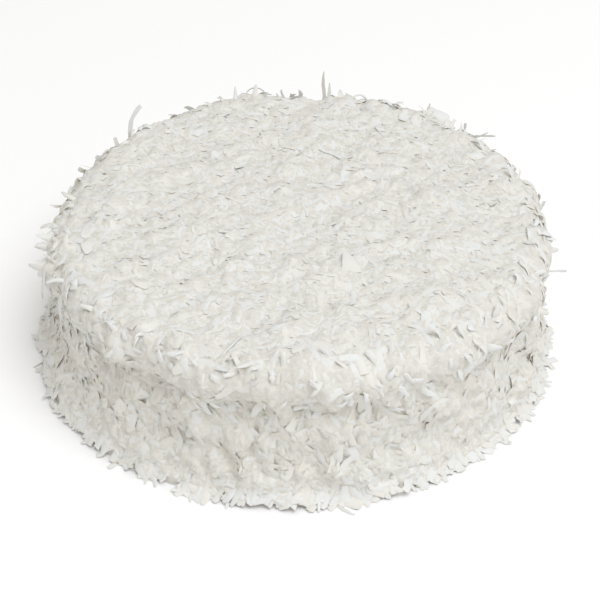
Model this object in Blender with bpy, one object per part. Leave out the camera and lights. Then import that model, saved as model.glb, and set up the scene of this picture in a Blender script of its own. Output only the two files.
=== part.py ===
"""Round coconut cake: one solid, an iced cake with shredded coconut fused all over it.

Metres, +Z up. The origin is the middle of the flat base, which is where the cake rests.
"""

import math
import random

import bmesh
import bpy
import numpy as np
from mathutils import Vector, noise
from mathutils.bvhtree import BVHTree
from mathutils.geometry import delaunay_2d_cdt

MM = 0.001

# Driving sizes of the iced cake under its coconut.
ICED_HEIGHT = 64.0 * MM
LIP_RADIUS = 110.5 * MM
WAIST_RADIUS = 104.0 * MM
SHOULDER_ROUND = 11.0 * MM
TOP_CROWN = 1.2 * MM
FOOT_SPREAD = 14.5 * MM
FOOT_HEIGHT = 9.0 * MM
FOOT_DRIFT = Vector((-3.0, 2.0, 0.0)) * MM

# Relief of the coconut mat: clumps, and the crags of single shreds.
MAT_LEAST = 0.8 * MM
CLUMP_SIZE = 16.0 * MM
CLUMP_DEPTH = 2.0 * MM
CRAG_SIZE = 5.0 * MM
CRAG_DEPTH = 4.6 * MM
OUT_OF_ROUND = 1.6 * MM
OUT_OF_ROUND_SIZE = 75.0 * MM
FOOT_RAGGED = 2.4 * MM
LOWEST_CRAG = 0.8 * MM

# Mesh of the mat.
MAT_POINTS = 1560
FOOT_POINTS = 112
PROFILE_STEPS = 90

# Shreds of coconut, the largest ones, as bent strips.
TOP_SHREDS = 34
SIDE_SHREDS = 46
FOOT_SHREDS = 22
SHRED_LENGTHS = (12.0 * MM, 24.0 * MM)
FOOT_SHRED_LENGTHS = (11.0 * MM, 15.0 * MM)
SHRED_WIDTHS = (2.4 * MM, 4.6 * MM)
STANDING_WIDTHS = (2.2 * MM, 3.2 * MM)
SHRED_THICK = 1.2 * MM
SHRED_RINGS = 4
SHRED_SINK = 0.5 * MM
SHRED_BEND = 1.1
STANDING_BEND = 0.5
BARE_MIDDLE = 25.0 * MM
SIDE_STOPS_SHORT = 22.0 * MM
FOOT_BAND = (11.0 * MM, 8.0 * MM)
FLOOR_GAP = 0.4 * MM
FLOOR_RIM = 20.0 * MM
SEED = 41

GOLDEN_ANGLE = math.pi * (3.0 - math.sqrt(5.0))
SMOOTH_ANGLE = math.radians(50.0)

# Shreds that stand out of the outline: angle round the cake from +X in degrees, place along the
# shoulder from its inner edge, length, reach of the tip, and heading from straight down in degrees.
STANDING = (
    (82.0, 5.0 * MM, 17.0 * MM, 13.0 * MM, 190.0),
    (88.0, 4.0 * MM, 13.0 * MM, 7.0 * MM, 150.0),
    (102.0, 5.0 * MM, 15.0 * MM, 5.0 * MM, 80.0),
    (70.0, 5.0 * MM, 14.0 * MM, 5.0 * MM, 100.0),
    (136.0, 6.0 * MM, 18.0 * MM, 11.0 * MM, 160.0),
    (147.0, 8.0 * MM, 12.0 * MM, 7.0 * MM, 20.0),
    (51.0, 5.0 * MM, 10.0 * MM, 6.0 * MM, 120.0),
    (37.0, 8.0 * MM, 16.0 * MM, 7.0 * MM, 60.0),
    (193.0, 17.0 * MM, 18.0 * MM, 9.0 * MM, 15.0),
    (202.0, 22.0 * MM, 15.0 * MM, 8.0 * MM, -30.0),
    (339.0, 15.0 * MM, 16.0 * MM, 9.0 * MM, 80.0),
    (352.0, 24.0 * MM, 13.0 * MM, 6.0 * MM, 20.0),
)


def clear_scene():
    for obj in list(bpy.data.objects):
        bpy.data.objects.remove(obj)


def smooth(t):
    """Eases from 0 to 1 with level ends."""
    t = np.clip(t, 0.0, 1.0)
    return t * t * (3.0 - 2.0 * t)


def side_radius(z):
    """Radius of the side at height z: the lip draws in to a waist, and the foot spreads out."""
    lip_height = ICED_HEIGHT - SHOULDER_ROUND
    radius = WAIST_RADIUS + (LIP_RADIUS - WAIST_RADIUS) * smooth(z / lip_height)
    return radius + FOOT_SPREAD * np.exp(-z / FOOT_HEIGHT)


def profile():
    """Radius, height and length along the outline, from the top's middle to the foot and floor."""
    lip_height = ICED_HEIGHT - SHOULDER_ROUND
    lip = float(side_radius(lip_height))
    flat = lip - SHOULDER_ROUND
    top_r = np.linspace(0.0, flat, PROFILE_STEPS, endpoint=False)
    top_z = ICED_HEIGHT + TOP_CROWN * (1.0 - (top_r / flat) ** 2)
    turn = np.linspace(0.5 * math.pi, 0.0, PROFILE_STEPS, endpoint=False)
    shoulder_r = flat + SHOULDER_ROUND * np.cos(turn)
    shoulder_z = lip_height + SHOULDER_ROUND * np.sin(turn)
    side_z = np.linspace(lip_height, 0.0, PROFILE_STEPS)
    floor_r = side_radius(0.0) + np.array([0.5, 1.0]) * FLOOR_RIM
    radius = np.concatenate([top_r, shoulder_r, side_radius(side_z), floor_r])
    height = np.concatenate([top_z, shoulder_z, side_z, [0.0, 0.0]])
    run = np.concatenate([[0.0], np.cumsum(np.hypot(np.diff(radius), np.diff(height)))])
    return radius, height, run


PROFILE_R, PROFILE_Z, PROFILE_S = profile()
SHOULDER_START = float(PROFILE_S[PROFILE_STEPS])
PROFILE_END = float(PROFILE_S[3 * PROFILE_STEPS - 1])


def relief(point):
    """How far the coconut mat stands off the icing at a point of it."""
    clump = noise.noise(point / CLUMP_SIZE)
    crag = abs(noise.noise(point / CRAG_SIZE + Vector((7.0, 3.0, 5.0))))
    warp = noise.noise(point / OUT_OF_ROUND_SIZE + Vector((2.0, 9.0, 4.0)))
    return MAT_LEAST + CLUMP_DEPTH * clump + CRAG_DEPTH * crag + OUT_OF_ROUND * warp


def surface(s, angle):
    """Point and outward normal of the icing at arc length s from the top's middle."""
    radius = float(np.interp(s, PROFILE_S, PROFILE_R))
    height = float(np.interp(s, PROFILE_S, PROFILE_Z))
    step = 0.5 * MM
    low, high = max(s - step, 0.0), s + step
    rise = np.interp(high, PROFILE_S, PROFILE_Z) - np.interp(low, PROFILE_S, PROFILE_Z)
    run = np.interp(high, PROFILE_S, PROFILE_R) - np.interp(low, PROFILE_S, PROFILE_R)
    normal = Vector((-rise * math.cos(angle), -rise * math.sin(angle), run)).normalized()
    point = Vector((radius * math.cos(angle), radius * math.sin(angle), height))
    return point + FOOT_DRIFT * math.exp(-height / FOOT_HEIGHT), normal


def flattened(s, angle):
    """The same place in a plane that keeps angles, so that a Delaunay mesh of it is even."""
    near = np.maximum(PROFILE_R, 2.0 * MM)
    stretch = np.concatenate([[0.0], np.cumsum(np.diff(PROFILE_S) / near[1:])])
    reach = math.exp(float(np.interp(s, PROFILE_S, stretch))) - 1.0
    return Vector((reach * math.cos(angle), reach * math.sin(angle)))


def sunflower(count, start, end, turn=0.0):
    """Places spread evenly over a band of the surface, as (s, angle) along a golden spiral."""
    area = np.concatenate(
        [[0.0], np.cumsum(np.diff(PROFILE_S) * 0.5 * (PROFILE_R[1:] + PROFILE_R[:-1]))]
    )
    first, last = np.interp([start, end], PROFILE_S, area)
    shares = first + (np.arange(count) + 0.5) / count * (last - first)
    return [
        (float(s), turn + GOLDEN_ANGLE * k)
        for k, s in enumerate(np.interp(shares, area, PROFILE_S))
    ]


def coconut_mat():
    """The iced cake with its mat of fine coconut: a golden spiral of points, closed by a flat base."""
    spacing = 2.0 * math.pi * float(side_radius(0.0)) / FOOT_POINTS
    places = sunflower(MAT_POINTS, 0.0, PROFILE_END - 0.6 * spacing)
    rim = [(PROFILE_END, 2.0 * math.pi * k / FOOT_POINTS) for k in range(FOOT_POINTS)]
    points = []
    for s, angle in places:
        point, normal = surface(s, angle)
        point += normal * relief(point)
        point.z = max(point.z, LOWEST_CRAG)
        points.append(point)
    for s, angle in rim:
        point, _ = surface(s, angle)
        ragged = FOOT_RAGGED * noise.noise(point / CRAG_SIZE)
        points.append(point + Vector((math.cos(angle), math.sin(angle), 0.0)) * ragged)
    flat = [flattened(s, angle) for s, angle in places + rim]
    _, _, faces, origins, _, _ = delaunay_2d_cdt(flat, [], [], 0, 1e-9)
    mesh = bpy.data.meshes.new("cake")
    bm = bmesh.new()
    verts = [bm.verts.new(point) for point in points]
    for face in faces:
        bm.faces.new([verts[origins[k][0]] for k in face])
    base = [e for e in bm.edges if e.is_boundary]
    bmesh.ops.holes_fill(bm, edges=base, sides=0)
    bmesh.ops.triangulate(bm, faces=[f for f in bm.faces if len(f.verts) > 3])
    bmesh.ops.recalc_face_normals(bm, faces=bm.faces)
    bm.to_mesh(mesh)
    bm.free()
    cake = bpy.data.objects.new("cake", mesh)
    bpy.context.scene.collection.objects.link(cake)
    return cake


def laid_on(mat, s, angle):
    """The place on the mat over a place of the icing, or on the floor past the foot."""
    point, normal = surface(s, angle)
    found = mat.ray_cast(point + normal * 12.0 * MM, -normal, 14.0 * MM)[0]
    return (found or point), normal


def shred(collection, mat, s, angle, turn, length, width, bend, reach):
    """One bent strip of coconut on the mat, whose tip stands the reach off it.

    turn is its heading from straight down the profile, and bend how far the heading swings.
    """
    rings = []
    here_s, here_angle = s, angle
    stride = length / (SHRED_RINGS - 1)
    for k in range(SHRED_RINGS):
        along = k / (SHRED_RINGS - 1)
        point, normal = laid_on(mat, here_s, here_angle)
        rings.append((point + normal * (reach * along * along - SHRED_SINK), normal, along))
        heading = turn + bend * (along - 0.5)
        radius = max(float(np.interp(here_s, PROFILE_S, PROFILE_R)), 12.0 * MM)
        here_s = abs(here_s + stride * math.cos(heading))
        here_angle += stride * math.sin(heading) / radius
    bm = bmesh.new()
    loops = []
    for k, (point, normal, along) in enumerate(rings):
        ahead = rings[min(k + 1, SHRED_RINGS - 1)][0] - rings[max(k - 1, 0)][0]
        across = ahead.cross(normal).normalized()
        up = across.cross(ahead).normalized()
        half = 0.5 * width * (0.45 + 0.55 * math.sin(math.pi * (0.12 + 0.76 * along)))
        corners = []
        for side, level in ((-1, 0), (1, 0), (1, 1), (-1, 1)):
            corner = point + across * half * side + up * SHRED_THICK * level
            corner.z = max(corner.z, FLOOR_GAP + level * SHRED_THICK)
            corners.append(bm.verts.new(corner))
        loops.append(corners)
    for first, second in zip(loops, loops[1:]):
        for k in range(4):
            bm.faces.new((first[k], first[(k + 1) % 4], second[(k + 1) % 4], second[k]))
    bm.faces.new(loops[0][::-1])
    bm.faces.new(loops[-1])
    bmesh.ops.recalc_face_normals(bm, faces=bm.faces)
    bmesh.ops.triangulate(bm, faces=bm.faces)
    mesh = bpy.data.meshes.new("shred")
    bm.to_mesh(mesh)
    bm.free()
    collection.objects.link(bpy.data.objects.new("shred", mesh))


def coconut_shreds(cake):
    """The largest shreds, spread evenly: any way on top, hanging on the side, fanned at the foot."""
    collection = bpy.data.collections.new("shreds")
    corners = [v.co for v in cake.data.vertices]
    mat = BVHTree.FromPolygons(corners, [tuple(p.vertices) for p in cake.data.polygons])
    draw = random.Random(SEED)
    near_foot = PROFILE_END - SIDE_STOPS_SHORT
    foot_start, foot_end = (PROFILE_END - short for short in FOOT_BAND)
    # Each band's count, start and end, lengths, most turn from straight down, and most reach.
    bands = (
        (TOP_SHREDS, BARE_MIDDLE, SHOULDER_START, SHRED_LENGTHS, math.pi, 2.0 * MM),
        (SIDE_SHREDS, SHOULDER_START, near_foot, SHRED_LENGTHS, 0.6, 3.0 * MM),
        (FOOT_SHREDS, foot_start, foot_end, FOOT_SHRED_LENGTHS, 0.5, 0.0),
    )
    for count, start, end, lengths, swing, most_reach in bands:
        for s, angle in sunflower(count, start, end, turn=1.0):
            length = draw.uniform(*lengths)
            width = draw.uniform(*SHRED_WIDTHS)
            turn = draw.uniform(-swing, swing)
            bend = draw.uniform(-SHRED_BEND, SHRED_BEND)
            reach = draw.uniform(0.2, 1.0) * most_reach
            shred(collection, mat, s, angle, turn, length, width, bend, reach)
    for degrees, along, length, reach, turn in STANDING:
        width = draw.uniform(*STANDING_WIDTHS)
        place = (SHOULDER_START + along, math.radians(degrees), math.radians(turn))
        shred(collection, mat, *place, length, width, STANDING_BEND, reach)
    return collection


def fuse(cake, collection):
    """Joins the shreds to the cake by one union, and removes them."""
    union = cake.modifiers.new("fuse", "BOOLEAN")
    union.operation = "UNION"
    union.operand_type = "COLLECTION"
    union.collection = collection
    union.solver = "EXACT"
    graph = bpy.context.evaluated_depsgraph_get()
    fused = bpy.data.meshes.new_from_object(cake.evaluated_get(graph))
    cake.modifiers.clear()
    cake.data = fused
    for obj in list(collection.objects):
        bpy.data.objects.remove(obj)
    bpy.data.collections.remove(collection)


def keep_outer_shell(cake):
    """Keeps the largest shell: a hollow that the union sealed is filled, and a loose scrap dropped."""
    bm = bmesh.new()
    bm.from_mesh(cake.data)
    left, shells = set(bm.faces), []
    while left:
        start = left.pop()
        shell, todo = [start], [start]
        while todo:
            for edge in todo.pop().edges:
                for face in edge.link_faces:
                    if face in left:
                        left.discard(face)
                        shell.append(face)
                        todo.append(face)
        shells.append(shell)
    shells.sort(key=len)
    for shell in shells[:-1]:
        bmesh.ops.delete(bm, geom=shell, context="FACES")
    bmesh.ops.triangulate(bm, faces=bm.faces)
    bm.to_mesh(cake.data)
    bm.free()


def centre_on_base(cake):
    """Moves the mesh so that the middle of its outline is over the origin."""
    corners = np.array([v.co for v in cake.data.vertices])
    middle = 0.5 * (corners.min(axis=0) + corners.max(axis=0))
    for vertex in cake.data.vertices:
        vertex.co.x -= middle[0]
        vertex.co.y -= middle[1]


def coconut_white():
    """Sweetened shredded coconut: off-white and slightly waxy."""
    material = bpy.data.materials.new("shredded_coconut")
    material.use_nodes = True
    shader = material.node_tree.nodes["Principled BSDF"]
    shader.inputs["Base Color"].default_value = (0.83, 0.81, 0.76, 1.0)
    shader.inputs["Roughness"].default_value = 0.6
    shader.inputs["Metallic"].default_value = 0.0
    return material


def main():
    clear_scene()
    cake = coconut_mat()
    fuse(cake, coconut_shreds(cake))
    keep_outer_shell(cake)
    centre_on_base(cake)
    cake.data.materials.clear()
    cake.data.materials.append(coconut_white())
    cake.data.shade_smooth()
    cake.data.set_sharp_from_angle(angle=SMOOTH_ANGLE)


main()
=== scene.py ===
"""Round coconut cake: shredded coconut laid piece by piece over the iced cake of the frame.

Every shred is a bent strip. The strips fall one after another onto a map of the cake's surface
that remembers how high the coconut already lies, so each rests on those below it.
"""

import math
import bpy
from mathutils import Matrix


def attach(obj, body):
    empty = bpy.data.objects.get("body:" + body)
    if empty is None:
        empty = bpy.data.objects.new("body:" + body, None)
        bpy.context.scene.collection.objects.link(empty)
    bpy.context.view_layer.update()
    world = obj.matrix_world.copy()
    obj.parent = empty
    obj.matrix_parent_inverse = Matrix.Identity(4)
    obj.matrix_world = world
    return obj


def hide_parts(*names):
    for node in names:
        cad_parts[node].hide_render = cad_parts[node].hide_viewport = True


bl_info = {
    "name": "Coconut cake",
    "version": (1, 0, 0),
    "blender": (4, 5, 0),
    "location": "View3D > Sidebar > Coconut cake",
    "description": "Covers an iced cake with shredded coconut, strip by strip",
    "category": "Add Mesh",
}

from functools import cache
from typing import NamedTuple

import bpy
import numpy as np
from bpy.props import FloatProperty, FloatVectorProperty, IntProperty, PointerProperty, StringProperty
from bpy.types import Operator, Panel, PropertyGroup
from mathutils import Vector
from mathutils.bvhtree import BVHTree

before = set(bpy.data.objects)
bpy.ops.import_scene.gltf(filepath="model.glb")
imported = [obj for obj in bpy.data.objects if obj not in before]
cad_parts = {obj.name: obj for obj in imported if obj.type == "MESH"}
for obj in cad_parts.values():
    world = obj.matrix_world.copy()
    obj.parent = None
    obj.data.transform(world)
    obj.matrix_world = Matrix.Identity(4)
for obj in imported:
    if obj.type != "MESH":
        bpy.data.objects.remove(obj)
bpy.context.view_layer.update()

MM = 0.001

# The iced cake's turned outline, as in the frame.
ICED_HEIGHT = 64.0 * MM
LIP_RADIUS = 110.5 * MM
WAIST_RADIUS = 104.0 * MM
SHOULDER_ROUND = 11.0 * MM
TOP_CROWN = 1.2 * MM
FOOT_SPREAD = 14.5 * MM
FOOT_HEIGHT = 9.0 * MM
FLOOR_RIM = 24.0 * MM
PROFILE_STEPS = 120
FLOOR_STEPS = 10

# The flat map of the surface: cell sizes of the pile of coconut and of the frame's relief, how far out
# the rays that feel the relief start, and how far in and out it may go.
PILE_CELL = 0.5 * MM
RELIEF_CELL = 3.0 * MM
RELIEF_REACH = 15.0 * MM
RELIEF_LIMITS = (-4.0 * MM, 6.0 * MM)
RELIEF_SMOOTHINGS = 3

# The foot's coconut is spread furthest at one bearing.
FOOT_LOBE = 3.0 * MM
FOOT_LOBE_BEARING = math.radians(203.0)

# How far the coat stands off the frame on average, and how much of its thickness a strip adds to it.
PROUD = 0.4 * MM
PACKING = 0.6

# The strips fall in rounds, each to the lowest of a few places in reach. Hidden ones are dropped.
ROUNDS = 40
TRIES = 4
TRY_REACH = 4.0 * MM
SEEN_DEPTH = 0.12 * MM
GOLDEN_ANGLE = math.pi * (3.0 - math.sqrt(5.0))
BEARING_SPREAD = 0.05

# Smoothings of the pile: for the bed that strips are pressed into, and for the icing between them.
PILE_SMOOTHINGS = 6
PULP_SMOOTHINGS = 2

# Over these lengths above the floor the icing's lumps die out, and the coat is set in less and less.
LUMPS_FADE = 12.0 * MM
SINK_FADE = 8.0 * MM

# Shreds that stand out start this deep in the coat. Nothing reaches below the lowest level.
ROOTED = 0.4 * MM
LOWEST = 0.15 * MM

# A strip's own shape: how wide its ends are and how uneven it and its torn edges are, as shares of its
# width, how high its upper edges are, as shares of its thickness, and how straight the stiffest stays.
BLUNT_ENDS = (0.3, 0.95)
UNEVEN = 0.09
TORN = 0.17
TORN_LIMITS = (0.5, 1.4)
WEDGE = (0.45, 1.0)
STIFFEST = 0.36

# A strip sags between what carries it by a share of its rings' distance, and more at its free ends.
SAG = 0.2
END_SAG = 5.0
BRIDGINGS = 4

# A strip leans with the slope under it: the share of the pile's slope, and the steepest that counts.
LEAN = 0.35
STEEPEST_LEAN = 0.6
STEEPEST_SLOPE = 0.7

# Where across a strip the pile is felt or raised, as shares of its half width.
FELT = (-0.8, 0.0, 0.8)
RAISED = (-0.8, -0.4, 0.0, 0.4, 0.8)

# Clumps in the coat: how wide each size of clump is, and the root mean square of its height.
CLUMPS = ((9.0 * MM, 0.6 * MM), (4.5 * MM, 0.6 * MM), (2.2 * MM, 0.5 * MM), (1.3 * MM, 0.2 * MM))
SIDE_CLUMPING = 1.5

# Lumps of the icing under the whole coat: their width and height, round with sharp valleys between.
LUMPS = ((4.5 * MM, 0.5 * MM), (2.2 * MM, 0.42 * MM))
SIDE_LUMPS = 1.4

# How much painted shade each millimetre of depth in the coat gives the coconut, on the top and on the
# side, how many millimetres a strip's base counts for, and where above the floor the side's share ends
# and fades.
TOP_PAINTED_SHADE = 0.45
SIDE_PAINTED_SHADE = 0.9
BASE_DEPTH = 0.7
PAINTED_SHADE_END = 6.0 * MM
PAINTED_SHADE_FADE = 14.0 * MM

# Places where the rim is drawn in: bearing, half width in degrees, and depth. They lie this far past the
# flat top, and reach this far up and down from there.
DENTS = ((149.0, 15.0, 2.4 * MM), (29.0, 11.0, 1.6 * MM))
DENT_OUT = 9.0 * MM
DENT_REACH = 12.0 * MM

# Where the coconut lies thick or thin down the side: height, depth and spread of each band.
COAT_BANDS = (
    (58.0 * MM, 0.6 * MM, 4.0 * MM),
    (44.0 * MM, -3.8 * MM, 7.5 * MM),
    (12.5 * MM, 3.4 * MM, 8.5 * MM),
)


def smooth(t):
    """Eases from 0 to 1 with level ends: three t squared less two t cubed."""
    t = np.clip(t, 0.0, 1.0)
    return t * t * (3.0 - 2.0 * t)


def side_radius(z):
    """Radius at height z: a lip that draws in to a waist, and a foot that spreads exponentially."""
    lip_height = ICED_HEIGHT - SHOULDER_ROUND
    waisted = WAIST_RADIUS + (LIP_RADIUS - WAIST_RADIUS) * smooth(z / lip_height)
    return waisted + FOOT_SPREAD * np.exp(-z / FOOT_HEIGHT)


def turned_outline():
    """Radius, height, length and outward normal along the outline.

    It is a parabola for the crown, a quarter circle for the rim, the side's curve and a level floor.
    """
    lip_height = ICED_HEIGHT - SHOULDER_ROUND
    lip = float(side_radius(lip_height))
    flat = lip - SHOULDER_ROUND
    top_r = np.linspace(0.0, flat, PROFILE_STEPS, endpoint=False)
    top_z = ICED_HEIGHT + TOP_CROWN * (1.0 - (top_r / flat) ** 2)
    turn = np.linspace(0.5 * math.pi, 0.0, PROFILE_STEPS, endpoint=False)
    side_z = np.linspace(lip_height, 0.0, PROFILE_STEPS)
    floor_r = side_radius(0.0) + np.linspace(0.1, 1.0, FLOOR_STEPS) * FLOOR_RIM
    radius = np.concatenate(
        [top_r, flat + SHOULDER_ROUND * np.cos(turn), side_radius(side_z), floor_r]
    )
    height = np.concatenate(
        [top_z, lip_height + SHOULDER_ROUND * np.sin(turn), side_z, 0.0 * floor_r]
    )
    run = np.concatenate([[0.0], np.cumsum(np.hypot(np.diff(radius), np.diff(height)))])
    out, up = -np.gradient(height, run), np.gradient(radius, run)
    size = np.hypot(out, up)
    return radius, height, run, out / size, up / size


RADIUS, HEIGHT, RUN, OUT, UP = turned_outline()
SHOULDER_START = float(RUN[PROFILE_STEPS])
SIDE_START = float(RUN[2 * PROFILE_STEPS])
FOOT_END = float(RUN[3 * PROFILE_STEPS - 1])
MAP_REACH = float(RUN[-1])
BAND = sum(depth * np.exp(-(((HEIGHT - level) / spread) ** 2)) for level, depth, spread in COAT_BANDS)


def run_at(place):
    """Length along the outline at places of the map: their distance from its middle."""
    return np.hypot(place[..., 0], place[..., 1])


def down_side(run):
    """0 on the flat top and 1 on the side, eased over the rim."""
    return smooth((run - SHOULDER_START) / (SIDE_START - SHOULDER_START))


def near_floor(run, reach):
    """1 at the floor and 0 further up than the reach, eased between."""
    return smooth((run - (FOOT_END - reach)) / reach)


def cake_axis(node):
    """The cake's axis in the frame: the mean of its side's faces, each weighed by its area."""
    mesh = node.data
    centre = np.empty(len(mesh.polygons) * 3)
    area = np.empty(len(mesh.polygons))
    mesh.polygons.foreach_get("center", centre)
    mesh.polygons.foreach_get("area", area)
    centre = centre.reshape(-1, 3)
    low, high = 0.35 * ICED_HEIGHT, 0.8 * ICED_HEIGHT
    on_side = (centre[:, 2] > low) & (centre[:, 2] < high)
    return np.average(centre[on_side, :2], axis=0, weights=area[on_side])


AXIS = cake_axis(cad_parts["cake"])


def on_outline(place):
    """Radius, height and normal of the bare outline at places of the map, and their bearings."""
    run = run_at(place)
    bearing = np.arctan2(place[..., 1], place[..., 0])
    parts = [np.interp(run, RUN, values) for values in (RADIUS, HEIGHT, OUT, UP)]
    return (*parts, bearing)


class MapGrid:
    """Heights over the flat map, where distance from the middle is length along the outline."""

    def __init__(self, cell):
        self.cell = cell
        self.half = int(MAP_REACH / cell) + 2
        self.height = np.zeros((2 * self.half + 1, 2 * self.half + 1))

    def places(self):
        """The map place of every cell."""
        steps = (np.arange(2 * self.half + 1) - self.half) * self.cell
        return np.stack(np.meshgrid(steps, steps, indexing="ij"), axis=-1)

    def cells(self, place):
        """Row and column of the cell that holds each place."""
        index = np.clip(np.rint(place / self.cell).astype(int) + self.half, 0, 2 * self.half)
        return index[..., 0], index[..., 1]

    def at(self, place):
        """Height of the cell that holds each place."""
        return self.height[self.cells(place)]

    def between(self, place):
        """Height by bilinear mixing of the four cells around each place."""
        where = np.clip(place / self.cell + self.half, 0, 2 * self.half - 1.001)
        low = where.astype(int)
        part = where - low
        i, j = low[..., 0], low[..., 1]
        u, v = part[..., 0], part[..., 1]
        near = self.height[i, j] * (1 - v) + self.height[i, j + 1] * v
        far = self.height[i + 1, j] * (1 - v) + self.height[i + 1, j + 1] * v
        return near * (1 - u) + far * u

    def pile(self, place, height):
        """Raises the cells under the places to at least the heights."""
        np.maximum.at(self.height, self.cells(place), height)

    def clump(self, draw, size, height, folded=False):
        """Adds random clumps: white noise through a Gaussian of the size, scaled to the height.

        Folded noise is its distance from nought, so that it is round with sharp valleys between.
        """
        noise = draw.normal(0.0, 1.0, self.height.shape)
        waves = [np.fft.fftfreq(n, self.cell)[:, None] for n in noise.shape]
        falloff = np.exp(-2.0 * (math.pi * size) ** 2 * (waves[0] ** 2 + waves[1].T ** 2))
        noise = np.fft.ifft2(np.fft.fft2(noise) * falloff).real
        noise = np.abs(noise) if folded else noise
        self.height += (noise - noise.mean()) * height / noise.std()

    def soften(self, times):
        """Binomial smoothing of one, two, one along both axes."""
        for _ in range(times):
            for axis in (0, 1):
                before, after = np.roll(self.height, 1, axis), np.roll(self.height, -1, axis)
                self.height = 0.25 * before + 0.5 * self.height + 0.25 * after

    def softened(self, times):
        """A smoothed copy."""
        copy = MapGrid(self.cell)
        copy.height = self.height.copy()
        copy.soften(times)
        return copy


def turned(radius, height, out, up, bearing):
    """Points about the cake's axis and their normals, from those of its section."""
    x, y = np.cos(bearing), np.sin(bearing)
    point = np.stack([AXIS[0] + radius * x, AXIS[1] + radius * y, height], axis=-1)
    return point, np.stack([out * x, out * y, up], axis=-1)


def frame_relief():
    """How far the frame's solid stands off the bare outline, felt by rays against its faces."""
    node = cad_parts["cake"]
    corners = [v.co for v in node.data.vertices]
    solid = BVHTree.FromPolygons(corners, [tuple(p.vertices) for p in node.data.polygons])
    relief = MapGrid(RELIEF_CELL)
    point, normal = turned(*on_outline(relief.places()))
    start = point + normal * RELIEF_REACH
    for index in np.ndindex(relief.height.shape):
        ray = Vector(start[index]), -Vector(normal[index])
        distance = solid.ray_cast(*ray, 2.0 * RELIEF_REACH)[3]
        if distance is not None:
            relief.height[index] = RELIEF_REACH - distance
    relief.height = np.clip(relief.height, *RELIEF_LIMITS)
    relief.soften(RELIEF_SMOOTHINGS)
    return relief


def in_space(relief, place, height):
    """Points and outward normals over places of the map, at heights above the frame's own surface.

    The outline's point moves along its normal, and the foot's lobe adds a squared cosine of bearing.
    """
    run = run_at(place)
    radius, level, out, up, bearing = on_outline(place)
    off = height + relief.between(place) + np.interp(run, RUN, BAND)
    lobe = np.maximum(0.0, np.cos(bearing - FOOT_LOBE_BEARING)) ** 2 * FOOT_LOBE
    reach = smooth((run - SIDE_START) / (FOOT_END - SIDE_START)) ** 2
    return turned(radius + out * off + lobe * reach, level + up * off, out, up, bearing)


def unit(vector):
    """Vectors divided by their lengths."""
    return vector / np.maximum(np.linalg.norm(vector, axis=-1, keepdims=True), 1e-12)


class Lie(NamedTuple):
    """How the strips of one kind lie, as spreads in radians or metres, or as shares."""

    curl: float  # the curl from end to end
    loft: float  # how far the ends and the middle lift off
    press: float  # the share of the way from the rough pile to the softened one
    roll: float  # the roll about the strip's own length
    ridge: float  # the upper face's share of the lower one's width


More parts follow.
